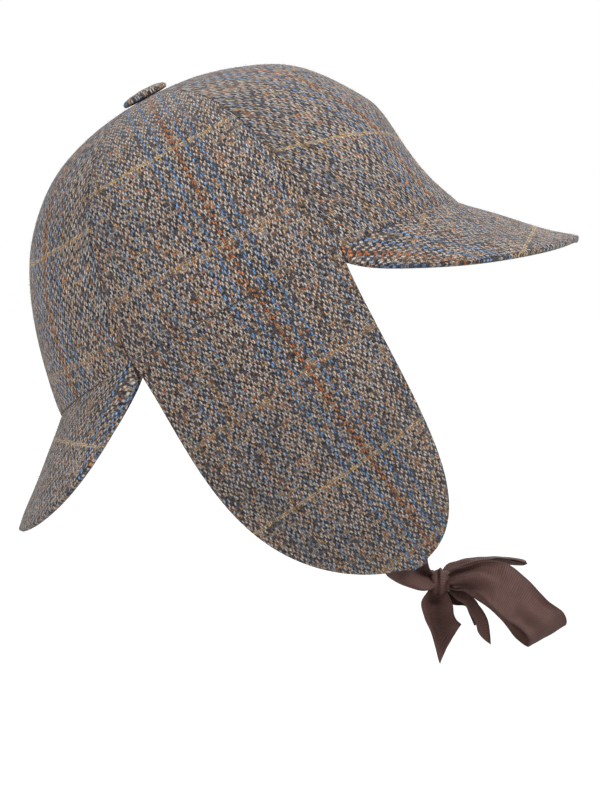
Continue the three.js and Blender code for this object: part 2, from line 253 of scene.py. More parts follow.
# %% [markdown]
# The tweed is woollen, in a broken twill: each light warp end floats over two picks and under two, and the
# step from one end to the next turns back every second end, so that no line runs on. Ends are 0.84 mm apart
# and picks 0.98 mm. The check over it is laid in the warp as blue, blue, rust, blue, blue every 79 mm, with
# an orange end half way and pale blue ones near that, and in the weft as a gold line every 98 mm, with an
# orange one half way. Single floats of dark, blue, orange and rust are scattered through it. The cloth's
# own map is in metres, across the warp and along it, so the yarns keep their size on every piece.

# %% tweed
END, PICK = 0.84, 0.98
CHECK_ENDS, CHECK_PICKS = 94, 100
WARP_LIGHT = [(0.78, 0.67, 0.58), (0.34, 0.35, 0.39), (0.53, 0.37, 0.24), (0.12, 0.10, 0.10)]
WEFT_DARK = [(0.035, 0.028, 0.030), (0.14, 0.092, 0.068), (0.08, 0.095, 0.14), (0.38, 0.29, 0.21)]
BLUE, PALE_BLUE = (0.19, 0.33, 0.56), (0.24, 0.32, 0.43)
RUST, ORANGE, GOLD = (0.52, 0.18, 0.07), (0.50, 0.27, 0.11), (0.66, 0.42, 0.17)
WARP_FLECKS = [
    # seed, share of the floats left as they are, strength, colour
    (4.13, 0.86, 1.0, WARP_LIGHT[3]),
    (6.31, 0.88, 0.7, PALE_BLUE),
    (8.77, 0.92, 0.8, ORANGE),
]
WEFT_FLECKS = [
    (5.31, 0.78, 1.0, WEFT_DARK[3]),
    (9.13, 0.92, 0.8, RUST),
]
CHECK_LINES = [
    (6.5, 1.0, BLUE),
    (13.5, 1.0, BLUE),
    (41.5, 0.75, PALE_BLUE),
    (35.5, 0.75, PALE_BLUE),
    (CHECK_ENDS / 2, 0.85, ORANGE),
]
LINE = 0.6  # half a line's width in ends: two ends where it is centred between them
GOLD_LINE, ORANGE_LINE = 1.5, 1.2  # in picks
WANDER = [(140.0, 1.2), (620.0, 1.1)]  # how closely the yarns wander, and how many yarns aside
PLANE, EVEN = {"noise_dimensions": "2D"}, (1.0, 1.0)
YARN_DEPTH, YARN_STRENGTH = 0.00042, 0.75


def tweed(name):
    made, tree = material(name)
    cloth = node(tree, "ShaderNodeUVMap", {"uv_map": "cloth"})
    cloth_across, cloth_along = split(tree, cloth)
    across, along = cloth_across / (END * MM), cloth_along / (PICK * MM)
    for scale, reach in WANDER:
        noise = node(tree, "ShaderNodeTexNoise", PLANE, 1, Vector=cloth, Scale=scale, Detail=1.0)
        aside, ahead = split(tree, noise)
        across = across + (aside - 0.5) * reach
        along = along + (ahead - 0.5) * reach

    end, pick = across.floor(), along.floor()
    over_end, over_pick = across - end - 0.5, along - pick
    place = end % 4.0
    shift_by = place + (place > 1.5) * (5.0 - 2.0 * place)
    step = (pick + shift_by) % 4.0
    warp_up = step < 1.5

    # a yarn is round across and arched along its float, and the weft lies a little lower
    warp_arch = (((step + over_pick) * 0.5).least(1.0) * math.pi).sine().most(0.0)
    warp_height = (over_end * math.pi).cosine().most(0.0) * (0.30 + 0.70 * warp_arch.power(0.6))
    weft_height = 0.66 * ((over_pick - 0.5) * math.pi).cosine().most(0.0).power(0.8)
    height = weft_height + warp_up * (warp_height - weft_height)

    def chance(index, row, seed):
        """A number of its own for each float of each yarn."""
        spot = node(tree, "ShaderNodeCombineXYZ", X=index + seed, Y=row + seed)
        return node(tree, "ShaderNodeTexWhiteNoise", PLANE, Vector=spot)

    def fibre(scale, stretch, seed):
        """Soft noise in the plane of the cloth, drawn out one way or the other."""
        wide, long = stretch
        spot = node(tree, "ShaderNodeCombineXYZ", X=cloth_across * wide + seed, Y=cloth_along * long)
        return node(tree, "ShaderNodeTexNoise", PLANE, Vector=spot, Scale=scale, Detail=2.0, Roughness=0.6)

    def yarn(colours, index, row, luck, mix, flecks):
        """A yarn spun of three colours, with single floats of others."""
        colour = blend(tree, luck, colours[0], colours[1])
        colour = blend(tree, mix.most(0.0).least(1.0), colour, colours[2])
        for seed, kept, strength, fleck in flecks:
            colour = blend(tree, (chance(index, row, seed) > kept) * strength, colour, fleck)
        return colour

    warp_float, weft_float = ((pick + shift_by) / 4.0).floor(), ((end + pick) / 2.0).floor()
    warp_luck, weft_luck = chance(end, warp_float, 0.37), chance(weft_float, pick, 0.71)
    warp_mix = (fibre(900.0, (1.0, 0.4), 3.0) - 0.42) * 5.0
    weft_mix = (fibre(900.0, (0.4, 1.0), 7.0) - 0.45) * 6.0
    warp_colour = yarn(WARP_LIGHT, end, warp_float, warp_luck, warp_mix, WARP_FLECKS)
    weft_colour = yarn(WEFT_DARK, weft_float, pick, weft_luck, weft_mix, WEFT_FLECKS)

    middle = (end + CHECK_ENDS / 2) % float(CHECK_ENDS) - CHECK_ENDS / 2
    for off, strength, line_colour in CHECK_LINES:
        warp_colour = blend(tree, (abs(abs(middle) - off) < LINE) * strength, warp_colour, line_colour)
    warp_colour = blend(tree, abs(middle - 0.5) < LINE, warp_colour, RUST)
    crossing = pick % float(CHECK_PICKS)
    weft_colour = blend(tree, (crossing < GOLD_LINE) * (0.75 + 0.25 * weft_luck), weft_colour, GOLD)
    half_way = abs(crossing - CHECK_PICKS / 2) < ORANGE_LINE
    weft_colour = blend(tree, half_way * (0.4 + 0.4 * weft_luck), weft_colour, ORANGE)

    # painted shade between the yarns and painted light on their round tops, paler where worn, and each float
    # and fibre a little different
    fuzz, worn, grain = fibre(2600.0, EVEN, 11.0), fibre(26.0, EVEN, 19.0), fibre(1300.0, (1.0, 0.7), 23.0)
    tone = 0.66 + 0.62 * (weft_luck + warp_up * (warp_luck - weft_luck))
    shade = (0.16 + 1.02 * height) * (0.5 + fuzz) * (0.84 + 0.32 * worn) * tone * (0.2 + 1.6 * grain)
    colour = blend(tree, warp_up, weft_colour, warp_colour)
    shaded = node(tree, "ShaderNodeVectorMath", {"operation": "SCALE"}, Vector=colour, Scale=shade)
    yarns = bump(tree, height + 0.35 * fuzz, YARN_STRENGTH, YARN_DEPTH)
    paint(tree, Base_Color=shaded, Normal=yarns, Roughness=0.95, Specular_IOR_Level=0.18, Sheen_Weight=0.22,
          Sheen_Roughness=0.55)
    return made


TWEED = tweed("tweed_broken_twill")
print("tweed repeats every", CHECK_ENDS * END, "mm across and", CHECK_PICKS * PICK, "mm along")

# %% [markdown]
# The ribbon is grosgrain: a close, fine warp over a thick weft, which shows as round ribs 1 mm apart across
# the whole width, with a denser band down each edge. It is dark brown with a soft gleam along the ribs.

# %% grosgrain
RIB, THREAD, SELVEDGE = 1.0, 0.34, 0.9
RIB_DEPTH, RIB_STRENGTH = 0.00022, 0.5
BROWN_DEEP, BROWN_LIGHT = (0.034, 0.0155, 0.012), (0.134, 0.066, 0.055)


def grosgrain(name):
    made, tree = material(name)
    cloth = node(tree, "ShaderNodeUVMap", {"uv_map": "cloth"})
    across, along = (part / MM for part in split(tree, cloth))
    slub = node(tree, "ShaderNodeTexNoise", PLANE, Vector=cloth, Scale=220.0, Detail=3.0)
    rib = 0.5 + 0.5 * ((along + (slub - 0.5) * 0.5) * (2 * math.pi / RIB)).cosine()
    thread = 0.5 + 0.5 * (across * (2 * math.pi / THREAD)).cosine()
    edge = abs(across - RIBBON_WIDTH / 2) > RIBBON_WIDTH / 2 - SELVEDGE
    # the rib tops are painted lighter, a painted highlight along the ribs; the slubs are the yarn's own
    # uneven tone
    colour = blend(tree, (0.32 + 0.34 * rib + 0.45 * slub).least(1.0), BROWN_DEEP, BROWN_LIGHT)
    colour = blend(tree, edge * 0.3, colour, BROWN_DEEP)
    ribs = bump(tree, rib + 0.25 * thread + 0.3 * edge, RIB_STRENGTH, RIB_DEPTH)
    paint(tree, Base_Color=colour, Normal=ribs, Roughness=0.62 - 0.14 * rib, Specular_IOR_Level=0.25,
          Sheen_Weight=0.05)
    return made


GROSGRAIN = grosgrain("grosgrain_brown")
print("ribs every", RIB, "mm")

# %% [markdown]
# Every piece of cloth is one closed skin: a front and a back that stand half the cloth's thickness either
# side of its middle and come together in a round edge, as a turned edge does. How near a point is to the
# edge settles how thick the cloth is there. The button and the knot are rings of points between two poles.

# %% a closed piece of cloth
EDGE_PLACES = (0.0, 0.05, 0.16, 0.36, 0.66, 1.05, 1.6)  # the rows beside an edge, in mm from it
EDGE_STEP = 0.15  # between the points that stand for an edge when the way to it is measured
EDGE_SOFT = 0.55  # how far in an edge's roundness reaches, as a share of half the thickness
EDGE_WRAP = 0.35  # how far the map goes on round an edge, as a share of the thickness


def spaced(length, step):
    """Shares of a length, even in the middle and closer together at both ends."""
    ends = np.array(EDGE_PLACES)
    inside = np.linspace(ends[-1], length - ends[-1], max(int(length / step), 3))
    return np.concatenate([ends[:-1], inside, (length - ends[:-1])[::-1]]) / length


def outward(points, flip=1.0):
    """Unit normals of a grid of points."""
    down, over = np.gradient(points, axis=0), np.gradient(points, axis=1)
    normal = np.cross(over, down) * flip
    return normal / np.maximum(np.linalg.norm(normal, axis=-1, keepdims=True), 1e-12)


def edge_distance(points):
    """How far each point of a grid lies from the grid's own border."""
    border = np.concatenate([points[0], points[1:, -1], points[-1, -2::-1], points[-2:0:-1, 0]])
    closed = np.concatenate([border, border[:1]])
    dense = [closed[:1]]
    for a, b in zip(closed[:-1], closed[1:]):
        steps = max(int(np.linalg.norm(b - a) / EDGE_STEP), 1)
        dense.append(a + (b - a) * (np.arange(1, steps + 1) / steps)[:, None])
    dense = np.concatenate(dense)
    tree = kdtree.KDTree(len(dense))
    for index, point in enumerate(dense):
        tree.insert(point, index)
    tree.balance()
    found = np.array([tree.find(point)[2] for point in points.reshape(-1, 3)]).reshape(points.shape[:2])
    found[0], found[-1], found[:, 0], found[:, -1] = 0, 0, 0, 0
    return found


def ripple(points, size, seed, waves=9):
    """A smooth random swell between about -1 and 1 whose waves are about size long."""
    draw = np.random.default_rng(seed)
    total = np.zeros(points.shape[:-1])
    for _ in range(waves):
        way = draw.normal(size=3)
        way /= np.linalg.norm(way)
        pace = 2 * math.pi / (size * draw.uniform(0.7, 1.4))
        total += np.sin(points @ way * pace + draw.uniform(0, 2 * math.pi))
    return total / math.sqrt(waves)


def smooth_piece(name, points, faces, flat, cloth_material):
    """A smooth object whose map, flat, has a place for each corner of each face. All of it is in mm."""
    mesh = bpy.data.meshes.new(name)
    mesh.from_pydata((points * MM).tolist(), [], faces)
    layer = mesh.uv_layers.new(name="cloth")
    layer.data.foreach_set("uv", (flat * MM).astype(np.float32).reshape(-1))
    mesh.materials.append(cloth_material)
    mesh.polygons.foreach_set("use_smooth", [True] * len(faces))
    mesh.validate()
    piece = bpy.data.objects.new(name, mesh)
    bpy.context.scene.collection.objects.link(piece)
    return piece


def skin(name, front, back, maps, cloth_material):
    """A mesh object from a front and a back grid that share their border. maps is across and along, in mm."""
    rows, columns = front.shape[:2]
    number = np.arange(rows * columns).reshape(rows, columns)
    behind = number.copy()
    behind[1:-1, 1:-1] = rows * columns + np.arange((rows - 2) * (columns - 2)).reshape(rows - 2, columns - 2)
    points = np.concatenate([front.reshape(-1, 3), back[1:-1, 1:-1].reshape(-1, 3)])
    faces = []
    for grid, turned in ((number, False), (behind, True)):
        a, b, c, d = grid[:-1, :-1], grid[:-1, 1:], grid[1:, 1:], grid[1:, :-1]
        order = (a, b, c, d) if not turned else (a, d, c, b)
        faces.append(np.stack(order, -1).reshape(-1, 4))
    faces = np.concatenate(faces)
    flat = np.concatenate([maps.reshape(-1, 2), maps[1:-1, 1:-1].reshape(-1, 2)])
    return smooth_piece(name, points, faces.tolist(), flat[faces.reshape(-1)], cloth_material)


def poled(rings, low_pole, high_pole):
    """The points and faces of a closed shape made of rings of points between two poles."""
    sides = rings.shape[1]
    points = np.concatenate([[low_pole], rings.reshape(-1, 3), [high_pole]])
    faces = []
    for row in range(len(rings)):
        for side in range(sides):
            here, beside = 1 + row * sides + side, 1 + row * sides + (side + 1) % sides
            if row == 0:
                faces.append((0, beside, here))
            if row == len(rings) - 1:
                faces.append((here, beside, len(points) - 1))
            else:
                faces.append((here, beside, beside + sides, here + sides))
    return points, faces


def wrapped(maps, from_edge, near, turn_over):
    """The cloth's map carried on around its rounded edge, so the yarns are not drawn out over it."""
    (u_down, v_down), (u_over, v_over) = (np.moveaxis(np.gradient(maps, axis=axis), -1, 0) for axis in (0, 1))
    down, over = np.gradient(from_edge, axis=0), np.gradient(from_edge, axis=1)
    inward = np.stack([down * v_over - over * v_down, over * u_down - down * u_over], -1)
    inward *= np.sign(u_down * v_over - v_down * u_over)[..., None]
    inward /= np.maximum(np.linalg.norm(inward, axis=-1, keepdims=True), 1e-9)
    return maps - inward * (turn_over * (1 - near) ** 3)[..., None]


def cloth_piece(name, surface, thickness, maps, flip=1.0):
    """A closed piece whose outer side is surface, with its border rounded over half the thickness."""
    normal = outward(surface, flip)
    middle = surface - normal * (thickness / 2)
    from_edge = edge_distance(middle)
    near = np.clip(from_edge / (thickness / 2 * EDGE_SOFT), 0, 1)
    maps = wrapped(maps, from_edge, near, EDGE_WRAP * thickness)
    half = (thickness / 2) * np.sqrt(1 - (1 - near) ** 2)
    front, back = middle + normal * half[..., None], middle - normal * half[..., None]
    front, back = pitched(front), pitched(back)
    if flip < 0:
        front, back = front[:, ::-1], back[:, ::-1]
        maps = maps[:, ::-1]
    return skin(name, front, back, maps, TWEED)


def run(points, axis):
    """Length along the rows or columns of a grid of points, from its first."""
    steps = np.linalg.norm(np.diff(points, axis=axis), axis=-1)
    start = np.zeros_like(steps[:1] if axis == 0 else steps[:, :1])
    return np.concatenate([start, np.cumsum(steps, axis=axis)], axis=axis)


def cloth_area(piece):
    """Half the area of a closed thin piece: its flat area in square metres."""
    return sum(face.area for face in piece.data.polygons) / 2


def finish_piece(piece, material_slot, *nodes):
    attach(piece, "root")
    if nodes:
        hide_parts(*nodes)
    return piece


print("helpers ready")

# %% [markdown]
# The crown is six gores. Each is cut tapering, sewn to its neighbours with the turnings pressed open
# inside, and steamed over a form, so it swells a little between its seams and puckers finely along them.
# The front seam is drawn in at mid height, and the back one stands out a little. Every gore shows the blue
# and rust group of the check running from the opening to the button.

# %% crown
FRONT_TUCK = (6.6, 62.0, 0.5)  # depth, height in mm, half angle in radians
BACK_TUCK = (2.8, 100.0, 0.6)
CREST, CREST_CLIMB, CREST_SPREAD = 1.5, 0.95, 0.2  # a swelling over the top, at this climb
PUFF, PUFF_POWER = 1.4, 0.8  # between two seams
PUCKER, PUCKER_WAVE, PUCKER_REACH = 0.16, 9.0, 5.0  # beside a seam
SWELL, SWELL_WAVE, SWELL_INSIDE, SWELL_ABOVE = 0.35, 46.0, 12.0, 0.12
GORE_GIRTH, GORE_RISE, GORE_STEP = 120.0, 150.0, 1.25
GORE_TOP = math.acos(TOP_RADIUS ** (ROUNDNESS / 2))
MAP_SHRINK = 0.92  # of a gore's map along its rise, where steaming has drawn the cloth in


def rim_height(turn):
    return RIM_RISE * np.abs(np.sin(turn))


def tuck(sizes, z, angle):
    depth, height, half_angle = sizes
    share = np.clip(z / height, 0, 1)
    return depth * np.abs(np.sin(np.pi * share ** 0.85)) ** 1.4 * np.exp(-((angle / half_angle) ** 2))


def crown_base(turn, climb):
    power = 2 / ROUNDNESS
    share = np.cos(climb) ** power
    z = HEIGHT * np.sin(climb) ** power
    pull = tuck(FRONT_TUCK, z, turn) - tuck(BACK_TUCK, z, np.pi - np.abs(turn))
    return np.stack([HALF_LENGTH * share * np.cos(turn) - pull, HALF_WIDTH * share * np.sin(turn), z], -1)


def crown_normal(turn, climb):
    step = 1e-3
    around = crown_base(turn + step, climb) - crown_base(turn - step, climb)
    up = crown_base(turn, climb + step) - crown_base(turn, np.maximum(climb - step, 1e-6))
    normal = np.cross(around, up)
    normal /= np.linalg.norm(normal, axis=-1, keepdims=True)
    return normal, around / np.linalg.norm(around, axis=-1, keepdims=True)


GORES = [
    # name, seam, seam, turn of the check's middle, height of a gold line there, its slope
    ("front", 0.0, SEAM_FRONT, math.radians(28.5), 43.0, 0.27),
    ("side", SEAM_FRONT, SEAM_BACK, math.radians(90.0), 81.5, 0.0),
    ("back", SEAM_BACK, math.pi, math.radians(151.0), 66.0, 0.0),
]


def gore(name, first, last, group_turn, gold_height, skew, side, seed):
    """One gore, made on the wearer's left and mirrored for the right; and its width and length when flat."""
    width = GORE_GIRTH * (last - first)
    rise, across = np.meshgrid(spaced(GORE_RISE, GORE_STEP), spaced(width, GORE_STEP), indexing="ij")
    turn = first + (last - first) * across
    start = np.arcsin((rim_height(turn) / HEIGHT) ** (ROUNDNESS / 2))
    climb = start + (GORE_TOP - start) * rise
    base = crown_base(turn, climb)
    normal, around = crown_normal(turn, climb)
    from_seam = np.minimum(across, 1 - across) * width * np.cos(climb) ** (2 / ROUNDNESS)
    fade = np.clip(2.2 * np.cos(climb) - 0.3, 0, 1)
    puff = PUFF * fade * np.sin(np.pi * across) ** PUFF_POWER
    pucker = PUCKER * ripple(base, PUCKER_WAVE, seed)
    pucker = pucker * np.exp(-from_seam / PUCKER_REACH) * np.clip(from_seam, 0, 1)
    swell = SWELL * fade * ripple(base, SWELL_WAVE, seed + 1) * np.clip(from_seam / SWELL_INSIDE, 0, 1)
    swell *= np.clip(rise / SWELL_ABOVE, 0, 1)
    crest = CREST * np.exp(-((climb - CREST_CLIMB) / CREST_SPREAD) ** 2 - turn ** 2)
    inward = (SEAM_OVERLAP / 2) * (np.exp(-(1 - across) * width / 2) - np.exp(-across * width / 2))
    surface = base + normal * (puff + pucker + swell + crest)[..., None] + around * inward[..., None]
    over = run(surface, 1)
    middle = np.array([np.interp(group_turn, turn[0], row) for row in over])
    up = (run(surface, 0) + rim_height(turn)) * MAP_SHRINK
    aside = over - middle[:, None]
    maps = np.stack([aside + skew * (gold_height - up) * 0.2, up - gold_height - skew * aside], -1)
    surface[..., 1] *= side
    maps[..., 0] *= side
    piece = cloth_piece(f"cloth_{name}", surface, CROWN_CLOTH, maps, flip=side)
    return piece, float(over.max()), float(up.max() / MAP_SHRINK)


cloths = {}
for order, (gore_name, *cut) in enumerate(GORES):
    for side, hand in ((1, "left"), (-1, "right")):
        label = f"crown_{gore_name}_{hand}"
        piece, wide, tall = gore(label, *cut, side, 40 + 7 * order + side)
        finish_piece(piece, "tweed", f"crown_panel_{gore_name}_{hand}")
        cloths[label] = piece
        print(label, "cut", round(wide), "by", round(tall), "mm,", round(cloth_area(piece) * 1e4), "cm2")

# %% [markdown]
# Both peaks are the same cloth over a stiffening, curved to follow the opening and turned under at the free
# edge. The cloth lies straight on them: its warp runs forwards and a gold line crosses the front peak two
# thirds of the way out. They are sewn to the flaps for the first 8 mm, and their inner edge is tucked in
# under the crown.

# %% peaks
PEAK_JOIN, PEAK_TUCKED = 8.0, 1.5
PEAK_LENGTH, PEAK_ROW_STEP, PEAK_WIDTH, PEAK_COLUMN_STEP = 58.0, 1.1, 260.0, 1.3
PEAK_SIDE, PEAK_EASING, PEAK_END, PEAK_END_POWER = 10.5, 0.15, 22, 16  # how much lower the sides hang
PEAK_SWELL, PEAK_SWELL_WAVE, PEAK_FIRM_EDGE, PEAK_SEED = 0.4, 38.0, 12, 71
PEAK_CURL = 0.75  # of how far the inner edge falls back at the sides
SEAM_SHARPNESS = 60  # how soon the overlap dies away from a seam
PEAKS = [
    # name, reach, slope, hollow, fullness, corner, middle turn, half turn, gold pick's distance out
    ("front", 58.5, 45.5, 0.05, 1.95, 0.85, 0.0, SEAM_FRONT, 39.0),
    ("back", 57.0, 39.5, -0.02, 2.6, 0.88, math.pi, math.pi - SEAM_BACK, 14.0),
]


def peak_surface(out, across, reach, slope, hollow, fullness, corner, middle, half):
    share = 2 * across - 1
    turn = middle + half * share
    end = np.abs(share)
    length = PEAK_JOIN + (reach - PEAK_JOIN) * np.maximum(1 - end ** fullness, 0) ** corner
    steeper = PEAK_SIDE * end ** 2 / (end ** 2 + PEAK_EASING) + PEAK_END * end ** PEAK_END_POWER
    down = np.radians(slope + steeper) * (1 + hollow * (1 - 2 * out))
    way = np.stack([np.cos(turn) / HALF_LENGTH, np.sin(turn) / HALF_WIDTH, np.zeros_like(turn)], -1)
    way /= np.linalg.norm(way, axis=-1, keepdims=True)
    along = way * np.cos(down)[..., None]
    along[..., 2] = -np.sin(down)
    around = np.stack([-way[..., 1], way[..., 0], np.zeros_like(turn)], -1)
    start = np.stack([HALF_LENGTH * np.cos(turn), HALF_WIDTH * np.sin(turn), rim_height(turn)], -1)
    start[..., 2] += SEAM_OVERLAP
    near_ends = np.exp(-(1 - share) * SEAM_SHARPNESS) - np.exp(-(1 + share) * SEAM_SHARPNESS)
    reach_here = out * (length + PEAK_TUCKED) - PEAK_TUCKED
    return start + along * reach_here[..., None] + around * (SEAM_OVERLAP / 2 * near_ends)[..., None], length


for peak_name, *shape, gold_out in PEAKS:
    rows, columns = spaced(PEAK_LENGTH, PEAK_ROW_STEP), spaced(PEAK_WIDTH, PEAK_COLUMN_STEP)
    out, across = np.meshgrid(rows, columns, indexing="ij")
    surface, length = peak_surface(out, across, *shape)
    normal = outward(surface)
    flip = math.copysign(1, normal[5, len(columns) // 2, 2])
    firm = np.minimum(np.minimum(out * length, (1 - out) * length), PEAK_FIRM_EDGE) / PEAK_FIRM_EDGE
    swell = PEAK_SWELL * firm * ripple(surface, PEAK_SWELL_WAVE, PEAK_SEED)
    surface = surface + flip * normal * swell[..., None]
    half_turn = shape[-1]
    fallen_back = HALF_LENGTH * (1 - np.abs(np.cos(2 * (across - 0.5) * half_turn))) * PEAK_CURL
    forward = out * length - fallen_back
    maps = np.stack([surface[..., 1] * (1 if peak_name == "front" else -1), gold_out - forward], -1)
    piece = cloth_piece(f"cloth_peak_{peak_name}", surface, PEAK_CLOTH, maps, flip=flip)
    cloths[f"peak_{peak_name}"] = finish_piece(piece, "tweed", f"peak_{peak_name}")
    print("peak", peak_name, round(cloth_area(piece) * 1e4), "cm2")

# %% [markdown]
# The button is a shallow mould covered with a round of the same tweed, gathered under its edge, so small
# pleats run in from the rim.

# %% button
BUTTON_RADIUS, BUTTON_HEIGHT = 11.2, 3.9
BUTTON_PROFILE = np.array([  # share of the radius, share of the height
    [0.0, 0.0], [0.55, 0.0], [0.9, 0.0], [0.97, 0.06], [1.0, 0.22], [0.985, 0.45], [0.9, 0.68], [0.72, 0.86],
    [0.45, 0.96], [0.2, 0.995], [0.0, 1.0],
])
BUTTON_SIDES, BUTTON_RINGS = 160, 64
GATHERS, GATHER_DEPTH, GATHER_DRIFT, GATHERED_FROM, GATHERED_OVER = 17, 0.10, 1.3, 0.55, 0.4
LUMPS = [(0.22, 6.0, 5), (0.14, 5.0, 6)]  # height, wave and seed, outwards and then upwards
BUTTON_STRETCH, BUTTON_CLOTH = 0.12, [17, 9]  # the place that it was cut from lies between two lines

step, fine = np.linspace(0, 1, len(BUTTON_PROFILE)), np.linspace(0, 1, BUTTON_RINGS)
profile = np.stack([np.interp(fine, step, BUTTON_PROFILE[:, column]) for column in (0, 1)], -1)
for _ in range(2):
    profile[1:-1] = (profile[:-2] + 2 * profile[1:-1] + profile[2:]) / 4
turn = np.linspace(0, 2 * np.pi, BUTTON_SIDES, endpoint=False)
out, up = (profile[1:-1, column][:, None] * np.ones_like(turn) for column in (0, 1))
gathers = np.sin(turn * GATHERS + GATHER_DRIFT * np.sin(3 * turn))
gathers = gathers * np.clip((out - GATHERED_FROM) / GATHERED_OVER, 0, 1)
ring = np.stack([np.cos(turn) * out, np.sin(turn) * out, up], -1)
ring = ring * [BUTTON_RADIUS, BUTTON_RADIUS, BUTTON_HEIGHT]
(lump, wave, seed), (rise, rise_wave, rise_seed) = LUMPS
swell = (GATHER_DEPTH * gathers + lump * ripple(ring, wave, seed)) * np.clip(up / 0.2, 0, 1)
ring = ring * (1 + (swell / BUTTON_RADIUS)[..., None])
ring[..., 2] += rise * ripple(ring, rise_wave, rise_seed) * np.clip(up / 0.5, 0, 1)
ring[..., 2] = np.maximum(ring[..., 2], 0)
points, faces = poled(ring, [0, 0, 0], [0, 0, BUTTON_HEIGHT])
points[:, 2] += HEIGHT + GAP
radius = np.linalg.norm(points[:, :2], axis=1, keepdims=True)
flat = points[:, :2] * (1 + BUTTON_STRETCH * radius / BUTTON_RADIUS) + BUTTON_CLOTH
button = smooth_piece("covered_button", pitched(points), faces, flat[np.concatenate(faces)], TWEED)
cloths["button"] = finish_piece(button, "tweed", "top_button")
print("button", 2 * BUTTON_RADIUS, "mm across,", len(faces), "faces")

# %% [markdown]
# Each ear flap hangs from the opening's edge, narrows just under the notches, falls inwards and forwards to
# its round tip, and carries slow waves where it has been folded up. The near flap's check drifts forwards
# as it falls, because the cloth was cut a little off its grain.

# %% ear flaps
FLAP_FLAT = (107.0, 153.0)  # its cut size
FLAP_LENGTH, FLAP_DROP_IN = 137.6, 62.0  # down from the opening, and in towards the chin
FLAP_FULLNESS, FLAP_TIP = 3.9, 0.571  # powers of the outline
FLAP_FORWARD, FLAP_BEND, FLAP_END = 17.5, 3.4, 0.997  # how far forwards the tip swings, and how late
FLAP_STEP, FLAP_STEP_LENGTH = 0.035, 0.06  # shares of the width and of the length, under the notches
FLAP_LEVEL = 6  # how soon the curved top edge gives way to level rows
FLAP_ROWS, FLAP_ROW_SPREAD, FLAP_SPACING = 150.0, 1.15, 1.2
FLAP_SWELL, FLAP_SWELL_WAVE, FLAP_SEED = 0.45, 34.0, 90
FLAP_WAVES = [
    # across, down, half across, half down, height
    (0.55, 0.36, 0.35, 0.22, 1.8),
    (-0.35, 0.55, 0.4, 0.2, -1.6),
    (0.1, 0.83, 0.6, 0.09, 1.5),
]
FLAP_GRAIN, FLAP_CHECK_X, FLAP_GOLD_Z = 0.115, 2.0, -82.0  # how the check lies: its slope and its crossing


def flap_half(down):
    half = (SEAM_FRONT_X - SEAM_BACK_X) / 2 + SEAM_OVERLAP / 2
    step = FLAP_STEP * (1 - np.exp(-down / FLAP_STEP_LENGTH))
    return half * (1 - step) * (1 - down ** FLAP_FULLNESS) ** FLAP_TIP


def flap_point(down, across, side):
    down, across = np.asarray(down, float), np.asarray(across, float)
    x = (SEAM_FRONT_X + SEAM_BACK_X) / 2 + FLAP_FORWARD * down ** FLAP_BEND + across * flap_half(down)
    bow = np.sqrt(1 - (x / HALF_LENGTH) ** 2)
    z = (RIM_RISE * bow + SEAM_OVERLAP) * (1 - down) ** FLAP_LEVEL - FLAP_LENGTH * down
    swell = sum(
        high * np.exp(-(((across - a) / wide) ** 2) - ((down - d) / deep) ** 2)
        for a, d, wide, deep, high in FLAP_WAVES
    )
    fallen = (RIM_RISE - z) / (RIM_RISE + FLAP_LENGTH)
    y = HALF_WIDTH * bow - FLAP_DROP_IN * fallen ** 2 + swell
    return np.stack([x, side * y, z], -1)


def flap_normal(down, across, side):
    step = 2e-3
    low = np.minimum(down, FLAP_END - 2 * step)
    fore = flap_point(low, across + step, side) - flap_point(low, across - step, side)
    drop = flap_point(low + step, across, side) - flap_point(np.maximum(low - step, 0), across, side)
    normal = np.cross(fore, drop) * side
    return normal / np.linalg.norm(normal, axis=-1, keepdims=True)


for side, hand in ((1, "left"), (-1, "right")):
    rows, columns = spaced(FLAP_ROWS, FLAP_SPACING), spaced(FLAP_FLAT[0], FLAP_SPACING)
    fall, share = np.meshgrid(rows, columns, indexing="ij")
    down = FLAP_END * np.sin(np.pi / 2 * fall ** FLAP_ROW_SPREAD)
    across = 1 - 2 * share
    surface = flap_point(down, across, side)
    normal = flap_normal(down, across, side)
    inside = np.clip(np.minimum(np.minimum(share, 1 - share) * 8, np.minimum(fall, 1 - fall) * 9), 0, 1)
    swell = FLAP_SWELL * inside * ripple(surface, FLAP_SWELL_WAVE, FLAP_SEED + side)
    surface = surface + normal * swell[..., None]
    ahead, low = surface[..., 0] - FLAP_CHECK_X, surface[..., 2]
    maps = np.stack([(ahead + FLAP_GRAIN * low) * -side, low - FLAP_GRAIN * ahead - FLAP_GOLD_Z], -1)
    toward = outward(surface)[20, surface.shape[1] // 2, 1] * side
    piece = cloth_piece(f"cloth_ear_flap_{hand}", surface, FLAP_CLOTH, maps, flip=math.copysign(1, toward))
    cloths[f"flap_{hand}"] = finish_piece(piece, "tweed", f"ear_flap_{hand}")
    print("flap", hand, round(cloth_area(piece) * 1e4), "cm2")

# %% [markdown]
# The chin tie is one width of ribbon. A stretch keeps its 22 mm, so where its edges come together it
# stands up in pleats, and the knot presses them flat again. Every stretch follows a smooth curve along
# each of its edges, and the cloth between is thick in the middle and round at the selvedges.

# %% ribbon helpers
RIBBON_EDGE = np.array([0, 0.03, 0.12, 0.3])  # the columns beside an edge, in mm from it
RIBBON_INSIDE, RIBBON_COLUMNS, RIBBON_ROWS = 0.6, 40, 14  # rows for each row of a table
KNOT_HOLD, KNOT_PRESS = 1.6, 0.25  # how many rows the knot's pull reaches, and how flat it presses pleats
RIBBON_SWELL, RIBBON_SWELL_WAVE = 0.12, 7.0
PLEAT_STEPS, PLEAT_HALVINGS = 48, 24


